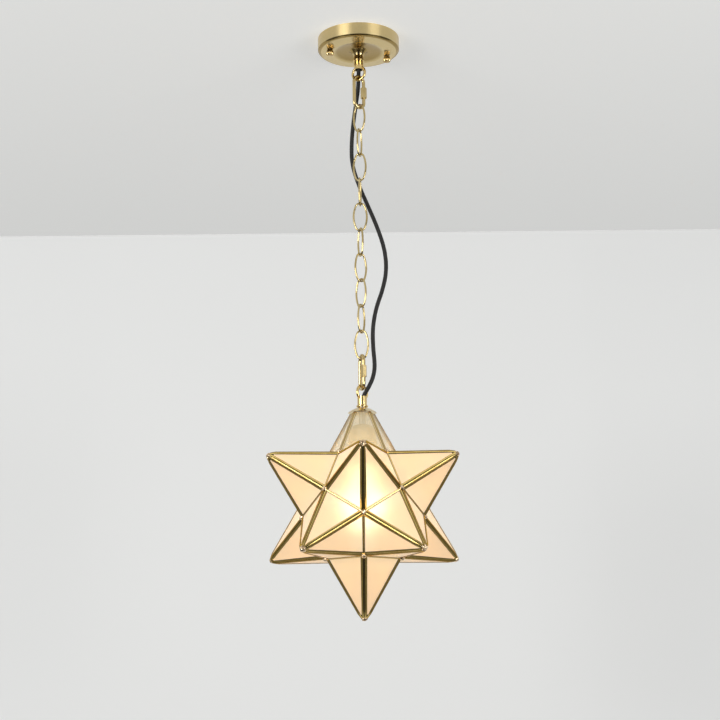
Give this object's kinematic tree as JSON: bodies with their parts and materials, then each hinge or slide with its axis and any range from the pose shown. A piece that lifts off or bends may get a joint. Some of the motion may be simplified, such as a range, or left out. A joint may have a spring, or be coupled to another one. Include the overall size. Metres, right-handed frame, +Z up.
{
  "type": "moravian star pendant light",
  "caption": "Hanging star lantern of frosted glass points in brass cames, on an oval-link chain with a braided cord under a round brass ceiling canopy.",
  "frame": {"origin": "on the ceiling at the canopy's centre, in the plane of the crossbar's top face and the canopy's rim", "axes": "+Z up out of the ceiling plane, -Y towards the viewer of the picture, +X to the viewer's right"},
  "size_m": [0.2706, 0.2844, 0.8598],
  "materials": {
    "canopy_brass": "satin champagne brass, polished bevel",
    "polished_brass": "polished",
    "link_brass": "polished",
    "chain_brass": "satin champagne brass",
    "came_brass": "burnished with dark patina and lumpy solder",
    "hinge_brass": "burnished",
    "copper_brass": "coppery, polished",
    "shell_brass": "bright",
    "zinc_steel": "zinc plated",
    "braided_cord": "braided textile",
    "connector_plastic": "moulded",
    "socket_thermoset": "cream moulded thermoset",
    "bulb_glass": "frosted",
    "bulb_cap_aluminium": "rolled thread",
    "frosted_glass": "frosted, warm",
    "clear_glass": "clear, seedy"
  },
  "bodies": {
    "ceiling_set": {"crossbar_bracket": "zinc_steel", "bracket_screws": "zinc_steel", "canopy": "canopy_brass", "upper_nipple": "zinc_steel", "upper_nipple_nut": "zinc_steel", "loop_upper": "polished_brass", "supply_wiring": "connector_plastic", "power_cord": "braided_cord"},
    "nut_left": {"canopy_nut_left": "copper_brass"},
    "nut_right": {"canopy_nut_right": "copper_brass"},
    "quick_link_upper": {"quick_link_upper": "link_brass"},
    "sleeve_upper": {"quick_link_upper_sleeve": "link_brass"},
    "link_01": {"chain_link_01": "chain_brass"},
    "link_02": {"chain_link_02": "chain_brass"},
    "link_03": {"chain_link_03": "chain_brass"},
    "link_04": {"chain_link_04": "chain_brass"},
    "link_05": {"chain_link_05": "chain_brass"},
    "link_06": {"chain_link_06": "chain_brass"},
    "link_07": {"chain_link_07": "chain_brass"},
    "link_08": {"chain_link_08": "chain_brass"},
    "link_09": {"chain_link_09": "chain_brass"},
    "link_10": {"chain_link_10": "chain_brass"},
    "quick_link_lower": {"quick_link_lower": "link_brass"},
    "sleeve_lower": {"quick_link_lower_sleeve": "link_brass"},
    "star": {"loop_lower": "polished_brass", "star_cap": "polished_brass", "lower_nipple": "zinc_steel", "lower_nipple_nut": "zinc_steel", "socket_body": "socket_thermoset", "socket_screw_shell": "shell_brass", "door_hinge": "hinge_brass", "door_hinge_pin": "hinge_brass", "point_top_frame": "came_brass", "point_top_glass": "clear_glass", "point_upper_000_frame": "came_brass", "point_upper_000_glass": "frosted_glass", "point_lower_036_frame": "came_brass", "point_lower_036_glass": "frosted_glass", "point_upper_072_frame": "came_brass", "point_upper_072_glass": "frosted_glass", "point_lower_108_frame": "came_brass", "point_lower_108_glass": "frosted_glass", "point_lower_180_frame": "came_brass", "point_lower_180_glass": "frosted_glass", "point_upper_216_frame": "came_brass", "point_upper_216_glass": "frosted_glass", "point_lower_252_frame": "came_brass", "point_lower_252_glass": "frosted_glass", "point_upper_288_frame": "came_brass", "point_upper_288_glass": "frosted_glass", "point_lower_324_frame": "came_brass", "point_lower_324_glass": "frosted_glass", "point_bottom_frame": "came_brass", "point_bottom_glass": "frosted_glass"},
    "door": {"point_door_frame": "came_brass", "point_door_glass": "frosted_glass", "door_hinge_leaf": "hinge_brass", "door_catch": "hinge_brass"},
    "bulb": {"bulb_glass": "bulb_glass", "bulb_base": "bulb_cap_aluminium"}
  },
  "joints": [
    {"name": "nut_left_unscrew", "type": "slide", "parent": "ceiling_set", "child": "nut_left", "axis": [0, 0, -1], "range_m": [0, 0.009]},
    {"name": "nut_right_unscrew", "type": "slide", "parent": "ceiling_set", "child": "nut_right", "axis": [0, 0, -1], "range_m": [0, 0.009]},
    {"name": "quick_link_upper_swing", "type": "hinge", "parent": "ceiling_set", "child": "quick_link_upper", "pos_m": [0, 0, -0.0647], "axis": [0.866, -0.5, 0], "range_deg": [-40, 40], "deforming": ["power_cord"]},
    {"name": "link_01_swing", "type": "hinge", "parent": "quick_link_upper", "child": "link_01", "pos_m": [0, 0, -0.1084], "axis": [-0.8192, -0.5736, 0], "range_deg": [-45, 45]},
    {"name": "link_02_swing", "type": "hinge", "parent": "link_01", "child": "link_02", "pos_m": [0, 0, -0.1455], "axis": [-0.829, 0.5592, 0], "range_deg": [-45, 45]},
    {"name": "link_03_swing", "type": "hinge", "parent": "link_02", "child": "link_03", "pos_m": [0, 0, -0.1837], "axis": [0.309, 0.9511, 0], "range_deg": [-45, 45]},
    {"name": "link_04_swing", "type": "hinge", "parent": "link_03", "child": "link_04", "pos_m": [0, 0, -0.2219], "axis": [0.9205, -0.3907, 0], "range_deg": [-45, 45]},
    {"name": "link_05_swing", "type": "hinge", "parent": "link_04", "child": "link_05", "pos_m": [0, 0, -0.2601], "axis": [-0.1045, -0.9945, 0], "range_deg": [-45, 45]},
    {"name": "link_06_swing", "type": "hinge", "parent": "link_05", "child": "link_06", "pos_m": [0, 0, -0.2983], "axis": [-1, 0, 0], "range_deg": [-45, 45]},
    {"name": "link_07_swing", "type": "hinge", "parent": "link_06", "child": "link_07", "pos_m": [0, 0, -0.3365], "axis": [-0.342, 0.9397, 0], "range_deg": [-45, 45]},
    {"name": "link_08_swing", "type": "hinge", "parent": "link_07", "child": "link_08", "pos_m": [0, 0, -0.3747], "axis": [0.809, 0.5878, 0], "range_deg": [-45, 45]},
    {"name": "link_09_swing", "type": "hinge", "parent": "link_08", "child": "link_09", "pos_m": [0, 0, -0.4129], "axis": [0.7071, -0.7071, 0], "range_deg": [-45, 45]},
    {"name": "link_10_swing", "type": "hinge", "parent": "link_09", "child": "link_10", "pos_m": [0, 0, -0.4511], "axis": [-0.4695, -0.8829, 0], "range_deg": [-45, 45]},
    {"name": "quick_link_lower_swing", "type": "hinge", "parent": "link_10", "child": "quick_link_lower", "pos_m": [0, 0, -0.4893], "axis": [-0.9848, 0.1736, 0], "range_deg": [-40, 40]},
    {"name": "star_swing", "type": "hinge", "parent": "quick_link_lower", "child": "star", "pos_m": [0, 0, -0.5336], "axis": [-0.309, 0.9511, 0], "range_deg": [-40, 40]},
    {"name": "sleeve_upper_unscrew", "type": "slide", "parent": "quick_link_upper", "child": "sleeve_upper", "axis": [0, 0, 1], "range_m": [0, 0.0072]},
    {"name": "sleeve_lower_unscrew", "type": "slide", "parent": "quick_link_lower", "child": "sleeve_lower", "axis": [0, 0, 1], "range_m": [0, 0.0072]},
    {"name": "door_open", "type": "hinge", "parent": "star", "child": "door", "pos_m": [0.02732, 0.0376, -0.62768], "axis": [0.809, -0.5878, 0], "range_deg": [0, 100]},
    {"name": "bulb_unscrew", "type": "slide", "parent": "star", "child": "bulb", "axis": [0, 0, -1], "range_m": [0, 0.026]}
  ]
}
